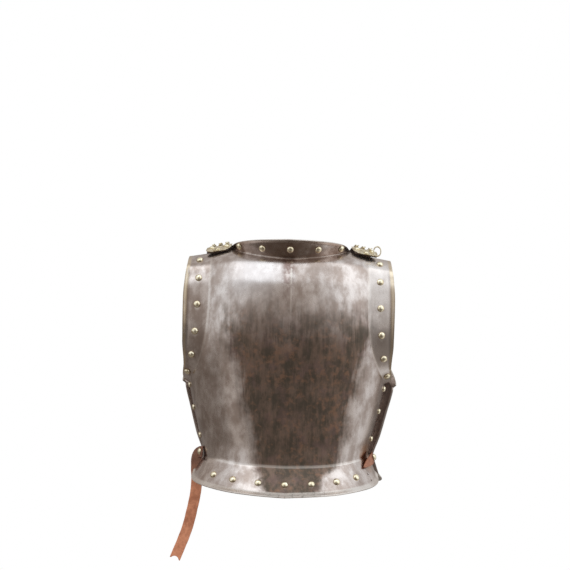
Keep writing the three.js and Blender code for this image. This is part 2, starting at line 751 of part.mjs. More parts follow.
// ---------------------------------------------------------------- waist belt
function beltStrap() {
  return band(ribbonFrames(BELT_ROUTE), {
    steps: BELT_STEPS,
    width: () => BELT_WIDTH,
    wall: BELT_WALL,
    columns: BELT_COLUMNS,
    trim: (column) => {
      return BELT_NOTCH.depth * Math.sqrt(Math.max(0, 1 - (column / BELT_NOTCH.half) ** 2));
    },
  });
}

function beltStub() {
  const width = along(
    STUB_ROUTE.map((row, k) => ({ share: k / (STUB_ROUTE.length - 1), width: row.width })),
    "share",
    "width"
  );
  return band(ribbonFrames(STUB_ROUTE), { steps: STUB_STEPS, width, wall: BELT_WALL });
}

function beltRivet(route, share) {
  const { point, outward } = ribbonFrames(route)(share);
  return placed(rivetHead(RIVET), point, outward, BELT_RIVET.lift);
}

// ---------------------------------------------------------------- the assembly
const cuirass = new THREE.Group();
const backFaces = plateSurfaces(BACK);
const breastFaces = plateSurfaces(BREAST);
const back = backWithEmptyHoles(plateSheet(BACK, backFaces), backFaces);
cuirass.add(named("backplate", back, STEEL));
for (const rivet of backRivets(back, rivetSeats(BACK, backFaces))) cuirass.add(rivet);
const breastSeats = rivetSeats(BREAST, breastFaces);
const breast = breastWithRivets(plateSheet(BREAST, breastFaces), breastSeats);
cuirass.add(named("breastplate", breast, STEEL));
cuirass.add(shoulderStrap(-1, "left", breastFaces), shoulderStrap(1, "right", breastFaces));
cuirass.add(
  named("belt_strap_left", beltStrap(), LEATHER),
  named("belt_rivet_left", beltRivet(BELT_ROUTE, BELT_RIVET.left), BRASS),
  named("belt_stub_right", beltStub(), LEATHER),
  named("belt_rivet_right", beltRivet(STUB_ROUTE, BELT_RIVET.right), BRASS)
);

export default cuirass;
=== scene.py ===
"""A heavy cavalry cuirass seen from behind: a backplate and breastplate of steel, joined
over the shoulders by brass chain straps, with the torn halves of a leather waist belt.

Metres, +Z up, with the tables in millimetres. The wearer faces +Y, right hand at +X."""

import math
from functools import partial

import bmesh
import bpy
from mathutils import Matrix, Vector, noise


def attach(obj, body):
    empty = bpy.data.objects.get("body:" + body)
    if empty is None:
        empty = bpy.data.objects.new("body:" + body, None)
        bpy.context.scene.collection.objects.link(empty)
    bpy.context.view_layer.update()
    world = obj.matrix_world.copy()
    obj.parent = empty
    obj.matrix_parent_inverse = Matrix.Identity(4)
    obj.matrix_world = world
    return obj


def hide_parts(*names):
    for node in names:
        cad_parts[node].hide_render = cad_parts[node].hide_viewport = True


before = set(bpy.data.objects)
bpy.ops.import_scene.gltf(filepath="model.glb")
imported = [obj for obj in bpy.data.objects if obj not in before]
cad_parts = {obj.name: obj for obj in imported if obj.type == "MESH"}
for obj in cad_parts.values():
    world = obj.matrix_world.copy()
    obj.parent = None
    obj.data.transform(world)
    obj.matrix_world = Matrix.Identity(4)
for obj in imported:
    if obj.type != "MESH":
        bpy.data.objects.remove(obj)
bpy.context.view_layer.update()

# ---------------------------------------------------------------- backplate
# One sheet of steel, 1.7 mm thick, raised by hand over the wearer's back. Its arm
# flanges, neck flange and skirt are turned out along a crease, and each ends in a
# turned rim. Its middle is painted dark: rusty tarnish where the polish never reached,
# and a painted dark reflection of the room behind the camera.
MM = 0.001
BACK_WALL = 1.7 * MM
RIM = 6.5  # width of the turned rim, in millimetres as in the tables
RIM_SHARE = 0.16  # of the flange's reach, where the flange is short
RIM_TURN = 0.5  # how far the rim turns outwards, as a share of its width
SIDE_STOP = 0.9975  # the body's curve ends at this share of its half width
# z, depth behind the parting plane, half width of the body, half width of the plate
BACK_SECTIONS = [
    (-380, 112, 142.5, 142.5),
    (-345, 111, 147.4, 147.4),
    (-328, 112, 151.4, 151.4),
    (-281, 115, 163.4, 163.4),
    (-239, 118, 171.8, 171.2),
    (-207, 122, 176, 156),
    (-171, 126, 178, 144),
    (-127, 127, 178, 138),
    (-66, 116, 178, 136),
    (-40, 103, 178, 135.5),
    (-27, 94, 178, 135),
    (-20, 83, 178, 135),
    (-14, 69, 178, 135),
    (-9, 49, 178, 135),
    (-5, 24, 178, 135),
]
# share of the half width, waist line, top line, drop of the depth there, neck flange
BACK_BORDERS = [
    (0, -375.6, -22, 0, 32.5),
    (0.3, -373.5, -17, 0, 25.5),
    (0.5, -370.5, -12.3, 0, 17.3),
    (0.6, -369, -9.2, 0.3, 10.7),
    (0.7, -367.8, -7, 1.5, 2.5),
    (1, -365, -13, 8, 0),
]
WAIST_LEAN = 6.5  # the waist crease ends this much higher at the right, lower at the left
# z, reach of the arm flange, its turn and its lift
BACK_ARM = [
    (-239, 9, 0.35, 5),
    (-205, 24, 0.3, 2),
    (-165, 38.5, 0.25, 0),
    (-93, 45, 0.2, 0),
    (-13, 41, 0.17, -7),
]
# share of the half width, how far the skirt goes down and out
BACK_SKIRT = [
    (0, 46.4, 37),
    (0.45, 43.2, 32),
    (0.7, 41.2, 26),
    (0.88, 38.3, 20),
    (0.96, 34.9, 17),
    (1, 28, 15),
]


def along(rows, column):
    """A smooth curve through a table's rows, from their first column to another."""
    x = [row[0] for row in rows]
    y = [row[column] for row in rows]
    last = len(x) - 1
    slope = []
    for i in range(last + 1):
        a, b = max(i - 1, 0), min(i + 1, last)
        slope.append((y[b] - y[a]) / (x[b] - x[a]))

    def curve(value):
        i = 0
        while i < last - 1 and value > x[i + 1]:
            i += 1
        step = x[i + 1] - x[i]
        t = min(1, max(0, (value - x[i]) / step))
        rest = 1 - t
        return (
            (1 + 2 * t) * rest * rest * y[i]
            + t * rest * rest * step * slope[i]
            + t * t * (3 - 2 * t) * y[i + 1]
            - t * t * rest * step * slope[i + 1]
        )

    return curve


def blend(low, high, share):
    return low + (high - low) * share


def share_between(start, end, value):
    """0 before start and 1 past end, where start may also be the higher of the two."""
    return min(1, max(0, (value - start) / (end - start)))


class PlateForm:
    """The faces of a plate, worked out from its tables, in millimetres.

    Roundness is that of its sides and of its face: 2 is a circle's, and more is squarer.
    Neck is the y that the neck flange leans away from, its lean, and the share of the
    half width at which it ends."""

    def __init__(self, facing, shift, parting, roundness, armpit, lean, neck, tables):
        self.facing, self.shift, self.parting, self.lean = facing, shift, parting, lean
        self.side_roundness, self.face_roundness = roundness
        self.armpit = armpit
        self.neck_centre, self.collar_lean, self.collar_end = neck
        sections, borders, arm, skirt = tables
        self.depth, self.body, self.edge = (along(sections, k) for k in (1, 2, 3))
        self.waist, self.top, self.drop, self.collar = (along(borders, k) for k in (1, 2, 3, 4))
        self.reach, self.turn, self.lift = (along(arm, k) for k in (1, 2, 3))
        self.down, self.out = along(skirt, 1), along(skirt, 2)

    def up_at(self, z, across=0):
        waist = self.waist(1) + self.lean * across**3
        return (z - waist) / (self.top(1) - waist)

    def on_body(self, across, up):
        share = abs(across)
        z = blend(self.waist(share) + self.lean * across**3, self.top(share), up)
        level = z + self.drop(share)
        reach = min(SIDE_STOP, self.edge(z) / self.body(z))
        angle = share * math.asin(reach ** (self.side_roundness / 2))
        x = self.body(z) * math.sin(angle) ** (2 / self.side_roundness)
        y = self.depth(level) * math.cos(angle) ** (2 / self.face_roundness)
        side = -self.facing * (across > 0) + self.facing * (across < 0)
        return Vector((self.shift + side * x, self.parting + self.facing * y, z))

    def turned_rim(self, place, share, reach, outward):
        rim = min(RIM, RIM_SHARE * reach)
        return place + outward * max(0, (share - 1) * reach + rim) * RIM_TURN

    def on_collar(self, across, share):
        root = self.on_body(across, 1)
        height = self.collar(abs(across))
        outward = Vector((root.x - self.shift, root.y - self.neck_centre, 0)).normalized()
        place = root + outward * height * self.collar_lean * share
        place.z += height * share
        return self.turned_rim(place, share, height, outward)

    def on_arm(self, side, up, share):
        place = self.on_body(side, up)
        reach = self.reach(place.z)
        turn = reach * self.turn(place.z)
        lift = self.lift(place.z)
        place += Vector((-self.facing * side * reach, -self.facing * turn, lift)) * share
        return self.turned_rim(place, share, reach, Vector((0, self.facing, 0)))

    def on_skirt(self, across, share):
        step = 0.01
        ahead = self.on_body(min(across + step, 1), 0) - self.on_body(max(across - step, -1), 0)
        outward = Vector((ahead.y, -ahead.x, 0)).normalized()
        down = self.down(abs(across)) + self.lean * across**3
        out = self.out(abs(across))
        place = self.on_body(across, 0) + outward * out * share
        place.z -= down * share
        return self.turned_rim(place, share, math.hypot(down, out), outward)

    def seat(self, face, u, v):
        """A point of a face, and the way that it faces there."""
        step = 0.004
        point = face(u, v)
        normal = (face(u + step, v) - face(u - step, v)).cross(
            face(u, v + step) - face(u, v - step)
        )
        outward = Vector((point.x - self.shift, point.y, 0))
        return point, normal.normalized() * (1 if normal.dot(outward) > 0 else -1)

    def across_at(self, face, x, share):
        """The share of the half width at which a face is x away from the middle."""
        low, high = 0, 1
        for _ in range(30):
            middle = (low + high) / 2
            if abs(face(middle, share).x - self.shift) < x:
                low = middle
            else:
                high = middle
        return low


def placed(name, bm):
    """A bmesh as an object of the scene."""
    mesh = bpy.data.meshes.new(name)
    bm.to_mesh(mesh)
    bm.free()
    piece = bpy.data.objects.new(name, mesh)
    bpy.context.scene.collection.objects.link(piece)
    return piece


def walled(piece, wall, corner):
    """Gives a sheet its wall, under its face, and eases its edges past an angle in degrees."""
    shell = piece.modifiers.new("wall", "SOLIDIFY")
    shell.thickness = wall
    shell.offset = -1
    shell.use_even_offset = True
    eased = piece.modifiers.new("edge", "BEVEL")
    eased.width = 0.3 * wall
    eased.segments = 2
    eased.limit_method = "ANGLE"
    eased.angle_limit = math.radians(corner)
    return piece


WAVES = [(0.35, 60), (0.12, 15)]  # height and length of what the hammer left uneven
RIDGE_HEIGHT, RIDGE_SPREAD = 0.8, 4
RIDGE_FADES = [(-200, -120), (-32, -52)]  # z at which it begins and is whole, from each end
CREASE_TURNS, CREASE_ROWS = 2, 2  # how often, and how many rows out, a crease is smoothed
CREASE_SPREAD = 0.8  # rows over which the painted highlight along it fades
RIM_BEGINS, RIM_WHOLE = 0.8, 0.9  # shares of a flange's reach
FLANGE_MARKS = {"collar": 1, "skirt": 0.6, "arm": 0.3}  # tell the flanges apart in a finish
STAIN_SPREAD, STAIN_REACH = 9, 24  # of the stain round a rivet
STAIN_RUN = 0.45  # it runs down, so the way downwards counts this much only


def plate_piece(name, form, wall, rivets):
    """A plate as a fine grid bent over the form's faces, with rounded creases."""
    body_columns, arm_columns = 120, 16
    columns = [("arm", -1, 1 - k / arm_columns) for k in range(arm_columns)]
    columns += [("body", 2 * k / body_columns - 1) for k in range(body_columns + 1)]
    columns += [("arm", 1, (k + 1) / arm_columns) for k in range(arm_columns)]
    armpit = form.up_at(form.armpit)
    skirt_rows, flank_rows, arm_rows, collar_rows = 22, 40, 88, 16
    rows = [("skirt", 1 - k / skirt_rows) for k in range(skirt_rows)]
    rows += [("up", armpit * k / flank_rows) for k in range(flank_rows)]
    rows += [
        ("up", blend(armpit, 1, (1 - math.cos(math.pi * k / arm_rows)) / 2))
        for k in range(arm_rows + 1)
    ]
    rows += [("collar", (k + 1) / collar_rows) for k in range(collar_rows)]

    def place_of(column, row):
        if column[0] == "arm":
            beside = row[0] == "up" and row[1] > armpit - 1e-6
            return form.on_arm(column[1], row[1], column[2]) if beside else None
        if row[0] == "skirt":
            return form.on_skirt(column[1], row[1])
        if row[0] == "up":
            return form.on_body(column[1], row[1])
        inside = abs(column[1]) <= form.collar_end + 1e-6
        return form.on_collar(column[1], row[1]) if inside else None

    bm = bmesh.new()
    wide, high = len(columns) - 1, len(rows) - 1
    bmesh.ops.create_grid(bm, x_segments=wide, y_segments=high, size=0.5)
    rim_layer = bm.verts.layers.float.new("rim")
    crease_layer = bm.verts.layers.float.new("crease")
    flange_layer = bm.verts.layers.float.new("flange")
    outside, near_crease = [], []
    waist_row, top_row = skirt_rows, skirt_rows + flank_rows + arm_rows
    for vert in bm.verts:
        i = round((vert.co.x + 0.5) * wide)
        j = round((vert.co.y + 0.5) * high)
        place = place_of(columns[i], rows[j])
        if place is None:
            outside.append(vert)
            continue
        vert.co = place * MM
        beside_arm = j >= waist_row + flank_rows and j <= top_row
        steps = [abs(j - waist_row)]
        if abs(i - wide / 2) <= form.collar_end * body_columns / 2:
            steps.append(abs(j - top_row))
        if beside_arm:
            steps += [abs(i - arm_columns), abs(i - wide + arm_columns)]
        vert[crease_layer] = math.exp(-((min(steps) / CREASE_SPREAD) ** 2))
        if min(steps) <= CREASE_ROWS:
            near_crease.append(vert)
        share = columns[i][2] if columns[i][0] == "arm" else 0
        share = max(share, rows[j][1] if rows[j][0] in ("skirt", "collar") else 0)
        vert[rim_layer] = share_between(RIM_BEGINS, RIM_WHOLE, share)
        kind = columns[i][0] if columns[i][0] == "arm" else rows[j][0]
        vert[flange_layer] = FLANGE_MARKS.get(kind, 0)
    bmesh.ops.delete(bm, geom=outside, context="VERTS")
    inner = [vert for vert in near_crease if not vert.is_boundary]
    for _ in range(CREASE_TURNS):
        bmesh.ops.smooth_vert(
            bm, verts=inner, factor=0.5, use_axis_x=True, use_axis_y=True, use_axis_z=True
        )

    # hammered by hand: the sheet is never quite even, and a faint ridge runs down its spine
    bm.normal_update()
    stain_layer = bm.verts.layers.float.new("stain")
    for vert in bm.verts:
        place = vert.co / MM
        wave = sum(height * noise.noise(place / length) for height, length in WAVES)
        aside = (place.x - form.shift) / RIDGE_SPREAD
        ridge = RIDGE_HEIGHT * math.exp(-aside * aside)
        for begins, whole in RIDGE_FADES:
            ridge *= share_between(begins, whole, place.z)
        vert.co += vert.normal * (wave + ridge) * MM
        vert[stain_layer] = 0
        for point, _ in rivets:
            away = place - point
            away.z *= STAIN_RUN if away.z < 0 else 1
            if away.length < STAIN_REACH:
                mark = math.exp(-((away.length / STAIN_SPREAD) ** 2))
                vert[stain_layer] = max(vert[stain_layer], mark)
    for face in bm.faces:
        face.smooth = True
    return walled(placed(name, bm), wall, 55)


# places of the rivets: x from the middle on the neck and the waist, z on the arm flanges,
# each with the share of the flange's reach, and z alone on the flanks
BACK_NECK = [(0, 0.5), (48, 0.49), (88, 0.6)]
BACK_ARM_ROW = [
    (-24, 0.5),
    (-56.5, 0.46),
    (-103, 0.46),
    (-149, 0.48),
    (-190, 0.52),
    (-222, 0.53),
]
BACK_FLANK_ROW = [-244, -283, -331]
BACK_WAIST_ROW = [(0, 0.58), (45, 0.58), (88, 0.57), (122, 0.54)]
FLANK_ACROSS = 0.94


def rivet_seats(form, neck, arm, flank, waist):
    """Each row's seats by its name: a list of (name, point, normal)."""
    rows = {"neck": [], "arm_left": [], "arm_right": [], "flank": [], "waist": []}
    rows["neck"].append(("neck_middle", *form.seat(form.on_collar, 0, neck[0][1])))
    rows["waist"].append(("waist_middle", *form.seat(form.on_skirt, 0, waist[0][1])))
    for side, word in ((-1, "left"), (1, "right")):
        turned = -form.facing * side
        for k, (x, place) in enumerate(neck[1:], 1):
            across = turned * form.across_at(form.on_collar, x, place)
            rows["neck"].append((f"neck_{word}_{k}", *form.seat(form.on_collar, across, place)))
        for k, (z, place) in enumerate(arm, 1):
            seat = form.seat(partial(form.on_arm, turned), form.up_at(z, turned), place)
            rows[f"arm_{word}"].append((f"arm_{word}_{k}", *seat))
        for k, z in enumerate(flank, 1):
            across = turned * FLANK_ACROSS
            seat = form.seat(form.on_body, across, form.up_at(z, across))
            rows["flank"].append((f"flank_{word}_{k}", *seat))
        for k, (x, place) in enumerate(waist[1:], 1):
            across = turned * form.across_at(form.on_skirt, x, place)
            seat = form.seat(form.on_skirt, across, place)
            rows["waist"].append((f"waist_{word}_{k}", *seat))
    return rows


back_form = PlateForm(
    facing=-1,
    shift=0,
    parting=10,
    roundness=(2.3, 2.3),
    armpit=-239,
    lean=WAIST_LEAN,
    neck=(12, 0.53, 0.7),
    tables=(BACK_SECTIONS, BACK_BORDERS, BACK_ARM, BACK_SKIRT),
)
back_rows = rivet_seats(back_form, BACK_NECK, BACK_ARM_ROW, BACK_FLANK_ROW, BACK_WAIST_ROW)
back_seats = [seat[1:] for row in back_rows.values() for seat in row]
backplate = plate_piece("back_steel_plate", back_form, BACK_WALL, back_seats)


def pierced(piece, seats, radius, depth):
    """The piece with its modifiers applied and a round hole driven through at each seat."""
    bm = bmesh.new()
    for point, normal in seats:
        turn = Vector((0, 0, 1)).rotation_difference(normal).to_matrix().to_4x4()
        bmesh.ops.create_cone(
            bm,
            cap_ends=True,
            segments=20,
            radius1=radius,
            radius2=radius,
            depth=depth,
            matrix=Matrix.Translation(point * MM) @ turn,
        )
    punch = placed("punch", bm)
    cut = piece.modifiers.new("holes", "BOOLEAN")
    cut.object = punch
    cut.solver = "EXACT"
    ready = piece.evaluated_get(bpy.context.evaluated_depsgraph_get())
    finished = bpy.data.meshes.new_from_object(ready)
    piece.modifiers.clear()
    piece.data = finished
    bpy.data.objects.remove(punch)


class Shade:
    """A value of a finish: arithmetic on it adds nodes to the finish's tree."""

    def __init__(self, tree, socket):
        self.tree, self.socket = tree, socket

    def node(self, kind, settings=None, inputs=None, output=0):
        made = self.tree.nodes.new(kind)
        for name, value in (settings or {}).items():
            setattr(made, name, value)
        for name, value in (inputs or {}).items():
            if isinstance(value, Shade):
                self.tree.links.new(value.socket, made.inputs[name])
            else:
                made.inputs[name].default_value = value
        return Shade(self.tree, made.outputs[output])

    def math(self, operation, *terms):
        return self.node("ShaderNodeMath", {"operation": operation}, dict(enumerate(terms)))

    def vector(self, operation, *others, output=0):
        inputs = dict(enumerate((self, *others)))
        return self.node("ShaderNodeVectorMath", {"operation": operation}, inputs, output)

    def part(self, axis):
        """A vector's part along an axis: 0, 1 or 2."""
        return self.node("ShaderNodeSeparateXYZ", None, {0: self}, axis)

    def __add__(self, other):
        return self.math("ADD", self, other)

    def __sub__(self, other):
        return self.math("SUBTRACT", self, other)

    def __rsub__(self, other):
        return self.math("SUBTRACT", other, self)

    def __mul__(self, other):
        return self.math("MULTIPLY", self, other)

    __radd__, __rmul__ = __add__, __mul__

    def __abs__(self):
        return self.math("ABSOLUTE", self)

    def ramp(self, low, high):
        """0 below low and 1 above high, or the other way round, with a soft turn between."""
        settings = {"interpolation_type": "SMOOTHSTEP"}
        if low < high:
            return self.node("ShaderNodeMapRange", settings, {0: self, 1: low, 2: high})
        return 1 - self.ramp(high, low)

    def scaled(self, x, y, z):
        return self.vector("MULTIPLY", (x, y, z))

    def cloud(self, size, detail, rough, shift=0.0):
        """Smooth noise of a grain size in metres, about 0.5 in the mean."""
        moved = self.vector("ADD", (shift,) * 3)
        inputs = {"Vector": moved, "Scale": 1 / size, "Detail": detail, "Roughness": rough}
        return moved.node("ShaderNodeTexNoise", None, inputs)

    def colour(self, low, high):
        """From one colour to another as this goes from 0 to 1."""
        settings = {"data_type": "RGBA", "clamp_factor": True}
        return self.node("ShaderNodeMix", settings, {0: self, 6: low, 7: high}, output=2)


def finish_of(name, metallic, roughness):
    """A new finish: its material, its shader, and the place on the piece to paint by."""
    material = bpy.data.materials.new(name)
    material.use_nodes = True
    tree = material.node_tree
    shader = tree.nodes["Principled BSDF"]
    shader.inputs["Metallic"].default_value = metallic
    shader.inputs["Roughness"].default_value = roughness
    place = Shade(tree, tree.nodes.new("ShaderNodeTexCoord").outputs["Object"])
    return material, shader, place


def painted(shader, **inputs):
    """Joins values to a shader's inputs, named with _ for a space."""
    for name, value in inputs.items():
        shader.id_data.links.new(value.socket, shader.inputs[name.replace("_", " ")])


def laid(tone, *coats):
    """A tone with coats laid over it in turn, each a share of cover and a colour."""
    for cover, colour in coats:
        tone = cover.colour(tone, colour)
    return tone


def relief(height, depth):
    """A bump of a depth in metres from a height of about 0 to 1."""
    inputs = {"Strength": 1.0, "Distance": depth, "Height": height}
    return height.node("ShaderNodeBump", None, inputs)


def layer(place, name):
    """A number laid on the piece's own points."""
    return place.node("ShaderNodeAttribute", {"attribute_name": name}, output=2)


EMPTY_HOLES = [(143.5, 0.56), (149.5, 0.8)]  # x, and share of the skirt's reach
HOLE_RADIUS, PUNCH_DEPTH = 1.7 * MM, 12 * MM
empty_seats = [
    back_form.seat(back_form.on_skirt, back_form.across_at(back_form.on_skirt, x, place), place)
    for x, place in EMPTY_HOLES
]
pierced(backplate, empty_seats, HOLE_RADIUS, PUNCH_DEPTH)

BRIGHT_STEEL = (0.68, 0.585, 0.53, 1)
DULL_STEEL = (0.4, 0.31, 0.262, 1)
# the next two colours are painted light: a paler right arm flange and a paler patch under the
# overhead highlight
RIGHT_FLANGE_SHEEN = (0.8, 0.71, 0.65, 1)
PAINTED_HIGHLIGHT_STEEL = (0.74, 0.69, 0.67, 1)
# these stain colours also paint shade: the dark field's dark reflection, and the neck flange's
BROWN_STAIN_AND_SHADE = (0.19, 0.118, 0.08, 1)
DARK_STAIN_AND_SHADE = (0.085, 0.062, 0.042, 1)
PURPLE_STAIN = (0.2, 0.115, 0.095, 1)
RUST = (0.27, 0.14, 0.08, 1)
ORANGE_RUST = (0.42, 0.19, 0.075, 1)
# pale wear round the rivets, and also the painted highlight along the creases, rims and ridge
PALE_WEAR_AND_SHEEN = (0.76, 0.67, 0.59, 1)
TAN_EDGE = (0.7, 0.55, 0.36, 1)
# the patina's places are in metres
PAINTED_HIGHLIGHT_PLACE = (-0.055, -0.1, -0.04)  # where the overhead highlight falls; the paler patch there is a painted highlight
TAG_END = (0.144, -0.03, -0.358)  # where the torn belt tag has kept the steel wet
SPINE, SPINE_STAIN = 3 * MM, -2 * MM  # x of the faint ridge, and of the stain along it
COLLAR_SHADE_X = -15 * MM  # x at which the painted shade on the neck flange, a dark reflection, is deepest
DARK_LEVEL = -0.2  # z at which the dark field's middle and half width are given
DARK_CENTRE, DARK_SHIFT = 18 * MM, -0.023  # x of its middle, and how fast that moves with z
DARK_HALF, DARK_TAPER = 0.108, 0.235  # its half width, and how fast it grows with z
DARK_TOP, DARK_FADE = -0.065, 0.11  # where it begins, and over how much height it deepens
DARK_FOOT = 12 * MM  # half of the step that its right border takes inwards on the skirt

back_steel, shader, place = finish_of("back_steel", 1.0, 0.3)
x, z = place.part(0), place.part(2)
broad = place.cloud(0.05, 5, 0.6)
blotch = place.cloud(0.028, 4, 0.6, 11.0)
fine = place.cloud(0.009, 4, 0.6, 3.0)
grain = place.cloud(0.0022, 3, 0.6, 7.0)
runs = place.scaled(1, 1, 0.12).cloud(0.006, 4, 0.65, 5.0)
patch = place.scaled(1, 1, 0.55).cloud(0.02, 5, 0.62, 9.0)
stain, rim = layer(place, "stain"), layer(place, "rim")
crease, flange = layer(place, "crease"), layer(place, "flange")

# the dark field, rusty tarnish and a painted dark reflection of the room behind the camera:
# its cloudy border, and the depth that it gains downwards
middle = x - ((z - DARK_LEVEL) * DARK_SHIFT + DARK_CENTRE)
half = (z - DARK_LEVEL) * DARK_TAPER + DARK_HALF
foot = z.ramp(-0.37, -0.4) * DARK_FOOT
edge = abs(middle + foot) - half + foot
edge = edge + (broad - 0.5) * 0.05 + (runs - 0.5) * 0.025
ragged = (broad - 0.5) * 0.06 + (blotch - 0.5) * 0.04 + (runs - 0.5) * 0.05
field = edge.ramp(0.014, -0.012) * (z + ragged).ramp(DARK_TOP, DARK_TOP - DARK_FADE)
tarnish_and_dark_reflection = laid(
    (patch * 0.6 + runs * 0.4).ramp(0.42, 0.6).colour(DARK_STAIN_AND_SHADE, BROWN_STAIN_AND_SHADE),
    (blotch.ramp(0.5, 0.66) * 0.5, PURPLE_STAIN),
    ((broad * 0.4 + fine * 0.6).ramp(0.49, 0.64) * 0.75, RUST),
)

# the plate's parts, by the number that the points of each flange carry, and its marks
collar = flange.ramp(0.8, 0.95)
arm = flange.ramp(0.05, 0.25) * flange.ramp(0.5, 0.35)
body = flange.ramp(0.1, 0.05)
spine = abs(x - SPINE_STAIN).ramp(0.016, 0.003) * z.ramp(-0.13, -0.03)
ridge = abs(x - SPINE).ramp(0.0022, 0.0007) * z.ramp(-0.15, -0.04) * body
painted_highlight = place.vector("DISTANCE", PAINTED_HIGHLIGHT_PLACE, output=1).ramp(0.075, 0.015)
from_tag = place.vector("DISTANCE", TAG_END, output=1)
worn = (patch * 0.7 + broad * 0.3).ramp(0.4, 0.64)
# the turned rims painted pale: partly worn bright, partly a painted highlight along them
rim_wear_and_sheen = flange.ramp(0.45, 0.55).colour(TAN_EDGE, PALE_WEAR_AND_SHEEN)
tone = laid(
    worn.colour(DULL_STEEL, BRIGHT_STEEL),
    # the right arm flange painted paler: a painted reflection of the light at the right
    (arm * x.ramp(-0.05, 0.05) * 0.65, RIGHT_FLANGE_SHEEN),
    # a paler patch under the overhead highlight: painted highlight
    (painted_highlight * 0.55, PAINTED_HIGHLIGHT_STEEL),
    # the dark field: rusty tarnish, with painted shade for the dark reflection in it
    (field * 0.95, tarnish_and_dark_reflection),
    (spine * fine.ramp(0.35, 0.55) * 0.75, PURPLE_STAIN),
    (ridge * runs.ramp(0.4, 0.5) * 0.7, PALE_WEAR_AND_SHEEN),
    # painted shade on the neck flange, for the dark that it reflects from below
    (collar * abs(x - COLLAR_SHADE_X).ramp(0.075, 0.01) * 0.75, BROWN_STAIN_AND_SHADE),
    (collar * blotch.ramp(0.45, 0.65) * 0.5, BROWN_STAIN_AND_SHADE),
    (stain * fine.ramp(0.35, 0.6) * 0.4, BROWN_STAIN_AND_SHADE),
    (stain.ramp(0.62, 0.9) * 0.7, PALE_WEAR_AND_SHEEN),
    (grain.ramp(0.62, 0.74) * 0.35, DARK_STAIN_AND_SHADE),
    # a pale line painted along each crease: a painted highlight on the bend
    (crease.ramp(0.1, 0.6) * 0.28, PALE_WEAR_AND_SHEEN),
    ((from_tag + (fine - 0.5) * 0.025).ramp(0.034, 0.012) * 0.8, ORANGE_RUST),
    # the rims' pale wear and painted highlight
    (rim.ramp(0.3, 0.9) * runs.ramp(0.25, 0.45) * 0.65, rim_wear_and_sheen),
)
painted(
    shader,
    Base_Color=tone,
    Roughness=0.29 + field * 0.2 + (fine - 0.5) * 0.12 - worn * 0.04,
    Metallic=1 - field * 0.3,
    Normal=relief(fine * 0.55 + grain * 0.08 + runs * 0.35, 0.00016),
)
backplate.data.materials.append(back_steel)
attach(backplate, "root")
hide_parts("backplate")

# ---------------------------------------------------------------- breastplate
# The heavier plate, 3 mm thick against pistol balls, with the same flanges and skirt.
# It lies a few millimetres outside the backplate along the flanks. Its tables have the
# same columns as the backplate's.
BREAST_WALL = 3 * MM
BREAST_SECTIONS = [
    (-384, 132, 149.4, 149.4),
    (-362, 139, 150.4, 150.4),
    (-328, 151, 162.4, 162.4),
    (-282, 158, 174.6, 174.6),
    (-243, 157, 184, 183.4),
    (-210, 152, 184, 160),
    (-170, 143, 183, 146),
    (-130, 131, 182, 139),
    (-90, 117, 180, 136),
    (-66, 105, 180, 134),
    (-50, 92, 180, 133),
    (-38, 76, 180, 132),
    (-32, 62, 180, 132),
]
BREAST_BORDERS = [
    (0, -384, -66, 0, 24),
    (0.3, -378, -61, 0, 21),
    (0.5, -373, -50, 0, 16),
    (0.6, -370, -42, 0.3, 10),
    (0.7, -367, -36, 1.5, 2.5),
    (1, -362, -40, 8, 0),
]
BREAST_ARM = [
    (-243, 5, 0.35, 4),
    (-205, 22, 0.3, 2),
    (-165, 34, 0.25, 0),
    (-93, 39, 0.2, 0),
    (-40, 36, 0.17, -6),
]
BREAST_SKIRT = [
    (0, 46, 38),
    (0.45, 46, 32),
    (0.7, 46, 25),
    (0.88, 45, 19),
    (0.96, 43, 16),
    (1, 38, 13),
]
BREAST_NECK = [(0, 0.54), (44, 0.54), (82, 0.6)]
BREAST_ARM_ROW = [(z, 0.53) for z in (-53, -82, -115, -150, -184, -211)]
BREAST_FLANK_ROW = [-262, -303, -344]
BREAST_WAIST_ROW = [(x, 0.53) for x in (0, 48, 92, 126)]
breast_form = PlateForm(
    facing=1,
    shift=4.5,
    parting=-2,
    roundness=(1.75, 2.35),
    armpit=-243,
    lean=0,
    neck=(-20, 0.6, 0.7),
    tables=(BREAST_SECTIONS, BREAST_BORDERS, BREAST_ARM, BREAST_SKIRT),
)
breast_rows = rivet_seats(
    breast_form, BREAST_NECK, BREAST_ARM_ROW, BREAST_FLANK_ROW, BREAST_WAIST_ROW
)
breast_seats = [seat[1:] for row in breast_rows.values() for seat in row]
breastplate = plate_piece("breast_steel_plate", breast_form, BREAST_WALL, breast_seats)

PALE_EDGE = (0.78, 0.72, 0.6, 1)
breast_steel, shader, place = finish_of("breast_steel", 1.0, 0.3)
broad = place.cloud(0.06, 5, 0.6, 2.0)
patch = place.scaled(1, 1, 0.5).cloud(0.022, 5, 0.62, 4.0)
fine = place.cloud(0.009, 4, 0.6, 6.0)
grain = place.cloud(0.0022, 3, 0.6, 8.0)
worn = (patch * 0.6 + broad * 0.4).ramp(0.38, 0.66)
tone = laid(
    worn.colour(DULL_STEEL, BRIGHT_STEEL),
    (broad.ramp(0.54, 0.74) * 0.45, BROWN_STAIN_AND_SHADE),
    (layer(place, "stain") * fine.ramp(0.35, 0.6) * 0.55, BROWN_STAIN_AND_SHADE),
    (grain.ramp(0.62, 0.74) * 0.4, DARK_STAIN_AND_SHADE),
    (layer(place, "rim") * 0.4, PALE_EDGE),
)
painted(
    shader,
    Base_Color=tone,
    Roughness=0.28 + (fine - 0.5) * 0.12 + broad * 0.1,
    Normal=relief(fine * 0.55 + grain * 0.08, 0.00018),
)
breastplate.data.materials.append(breast_steel)
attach(breastplate, "root")
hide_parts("breastplate")

